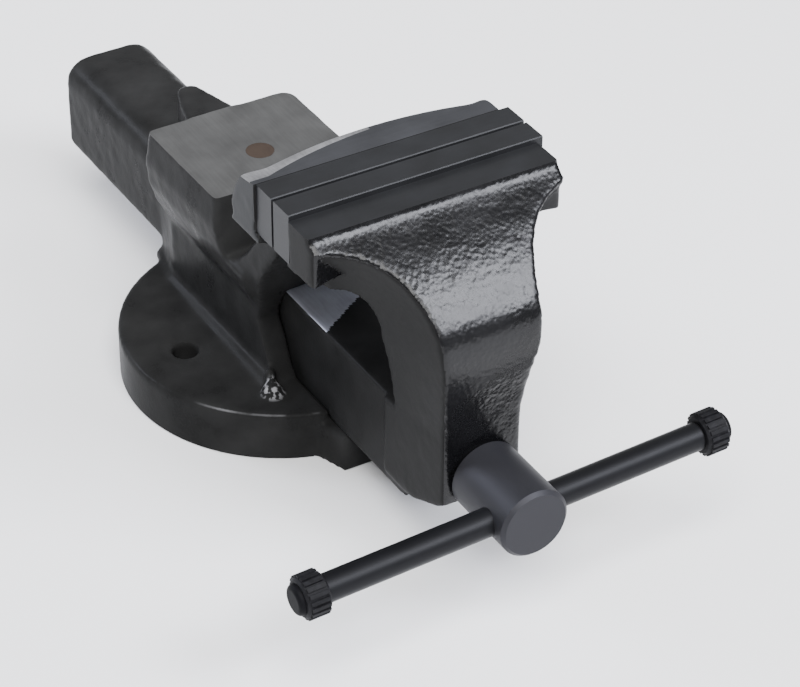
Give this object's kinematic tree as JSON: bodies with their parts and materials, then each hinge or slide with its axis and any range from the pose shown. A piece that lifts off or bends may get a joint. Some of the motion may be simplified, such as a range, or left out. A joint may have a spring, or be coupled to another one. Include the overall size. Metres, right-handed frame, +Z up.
{
  "type": "bench vise",
  "caption": "Fixed-base bench vise with a round foot, anvil, box slide, flared jaws with screwed-on plates, and a screw turned by a sliding bar handle.",
  "frame": {"origin": "centre of the round foot and of its two bolt holes, on the underside", "axes": "+X along the jaws to the operator's right, +Y along the screw away from the handle towards the tail, +Z up"},
  "size_m": [0.2603, 0.4855, 0.2072],
  "materials": {
    "body_enamel": "black enamel over cast steel, satin with gloss on the curves",
    "jaw_enamel": "glossy hammered black enamel",
    "plate_steel": "dark ground and hardened steel",
    "plug_steel": "browned steel, ground flush",
    "nut_iron": "machined iron",
    "fastener_steel": "blackened steel",
    "screw_steel": "satin dark grey steel",
    "handle_steel": "satin blued steel",
    "ring_rubber": "ribbed black rubber",
    "button_steel": "domed dark steel"
  },
  "bodies": {
    "fixed": {"body_casting": "body_enamel", "fixed_jaw_plate": "plate_steel", "fixed_jaw_screws": "fastener_steel", "anvil_plug": "plug_steel", "spindle_nut": "nut_iron", "nut_bolts": "fastener_steel", "nut_washers": "fastener_steel"},
    "moving": {"moving_jaw_casting": "jaw_enamel", "moving_jaw_plate": "plate_steel", "moving_jaw_screws": "fastener_steel"},
    "screw": {"spindle_screw": "screw_steel", "thrust_washer": "fastener_steel", "spindle_collar": "fastener_steel", "collar_pin": "fastener_steel"},
    "handle": {"handle_bar": "handle_steel", "handle_ring_left": "ring_rubber", "handle_ring_right": "ring_rubber", "handle_button_left": "button_steel", "handle_button_right": "button_steel"}
  },
  "joints": [
    {"name": "jaw_slide", "type": "slide", "parent": "fixed", "child": "moving", "axis": [0, -1, 0], "range_m": [-0.0016, 0.15]},
    {"name": "spindle_turn", "type": "hinge", "parent": "moving", "child": "screw", "pos_m": [0, -0.2, 0.0627], "axis": [0, -1, 0], "range_deg": [-98, 9002]},
    {"name": "handle_slide", "type": "slide", "parent": "screw", "child": "handle", "axis": [0.9993, 0, 0.0366], "range_m": [-0.0904, 0.0951]}
  ],
  "couplings": [
    {"joint": "spindle_turn", "follows": "jaw_slide", "rad_per_m": 1047.2}
  ]
}
